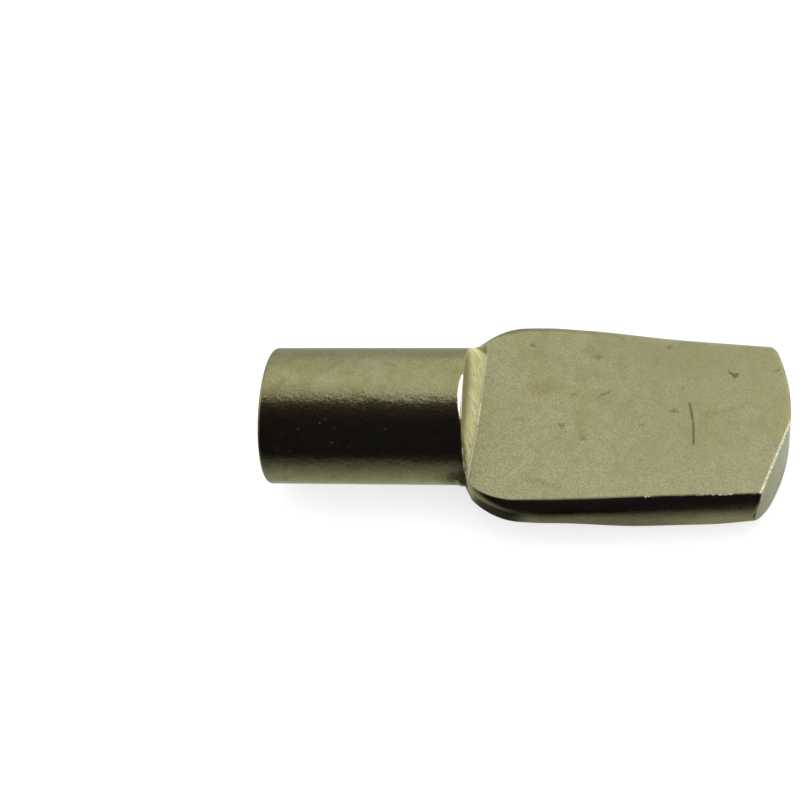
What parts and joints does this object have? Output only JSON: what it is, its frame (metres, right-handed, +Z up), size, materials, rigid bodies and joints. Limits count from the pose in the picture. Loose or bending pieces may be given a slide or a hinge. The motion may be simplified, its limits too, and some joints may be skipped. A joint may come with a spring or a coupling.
{
  "type": "shelf support pin",
  "caption": "One-piece plated steel shelf pin: a round shank that plugs into a hole in a cabinet side, and a flat pressed blade that a shelf rests on.",
  "frame": {"origin": "on the shank's axis, in the plane where the shank ends and the blade's root starts", "axes": "+X along the pin from the shank's cropped end to the blade's tip, +Z up out of the flat seat that the shelf rests on, +Y across the blade"},
  "size_m": [0.024, 0.0095, 0.0064],
  "materials": {
    "plated_steel": "nickel plating over pressed steel, warm grey with a yellow-green cast, satin on the flat seat and glossy on the rounded sides"
  },
  "bodies": {
    "root": {"shelf_pin": "plated_steel"}
  },
  "joints": []
}
